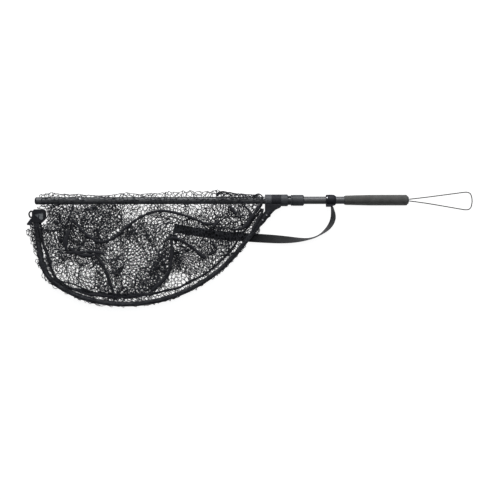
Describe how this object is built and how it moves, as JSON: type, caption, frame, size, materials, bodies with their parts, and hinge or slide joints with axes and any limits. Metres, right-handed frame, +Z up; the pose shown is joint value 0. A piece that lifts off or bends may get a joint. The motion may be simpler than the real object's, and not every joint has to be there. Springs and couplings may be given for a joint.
{
  "type": "folding landing net",
  "caption": "Folding landing net: hinged hoop arms with bundled netting, a handle that slides through the hub, foam grip, carry strap and lanyard.",
  "frame": {"origin": "on the handle's axis, at the middle of the bare stretch of tube between the lock collar and the strap cuff", "axes": "+X along the handle towards the grip, +Z up as the folded net lies flat, the hoop on the -Y side"},
  "size_m": [1.0706, 0.2739, 0.0292],
  "materials": {
    "hub_plastic": "satin",
    "nylon": "matte",
    "bracket_plastic": "satin",
    "arm_metal": "satin",
    "bright_steel": "polished",
    "tip_plastic": "matte",
    "netting": "matte",
    "elastic": "matte",
    "tube_metal": "satin",
    "cuff_plastic": "satin",
    "grip_foam": "matte",
    "webbing": "matte",
    "lanyard_cord": "satin",
    "spring_steel": "satin"
  },
  "bodies": {
    "hub": {"hub_sleeve": "hub_plastic", "guide_bush_left": "nylon", "guide_bush_right": "nylon", "thrust_washer": "nylon", "rear_bracket": "bracket_plastic", "rear_hoop_arm": "arm_metal", "rear_rivets": "bright_steel", "rear_tip_block": "tip_plastic", "rear_net_bundle": "netting", "tip_loop": "elastic"},
    "front_half": {"front_bracket": "bracket_plastic", "dog_ring": "hub_plastic", "front_hoop_arm": "arm_metal", "front_rivets": "bright_steel", "front_tip_block": "tip_plastic", "front_net_bundle": "netting", "tip_hook": "tip_plastic"},
    "locking": {"lock_collar": "hub_plastic"},
    "handle": {"handle_tube": "tube_metal", "tube_cap": "hub_plastic", "strap_cuff": "cuff_plastic", "strap_keeper": "cuff_plastic", "cuff_rivet": "bright_steel", "grip_foam": "grip_foam", "grip_front_ring": "cuff_plastic", "end_cap": "cuff_plastic", "lanyard_grommet": "nylon", "carry_strap": "webbing", "lanyard": "lanyard_cord", "stow_spring": "spring_steel", "extend_spring": "spring_steel"},
    "stow_press": {"stow_button": "bright_steel"},
    "extend_press": {"extend_button": "bright_steel"}
  },
  "joints": [
    {"name": "hoop_fold", "type": "hinge", "parent": "hub", "child": "front_half", "pos_m": [0, 0, 0], "axis": [-1, 0, 0], "range_deg": [0, 178]},
    {"name": "lock_slide", "type": "slide", "parent": "hub", "child": "locking", "axis": [-1, 0, 0], "range_m": [0, 0.0062]},
    {"name": "handle_slide", "type": "slide", "parent": "hub", "child": "handle", "axis": [1, 0, 0], "range_m": [0, 0.54]},
    {"name": "stow_button_press", "type": "slide", "parent": "handle", "child": "stow_press", "axis": [0, -0.4772, -0.8788], "range_m": [0, 0.0017], "stiffness_N_per_m": 600, "springref_m": -0.001},
    {"name": "extend_button_press", "type": "slide", "parent": "handle", "child": "extend_press", "axis": [0, -0.4772, -0.8788], "range_m": [0, 0.0017], "stiffness_N_per_m": 600, "springref_m": -0.001}
  ]
}
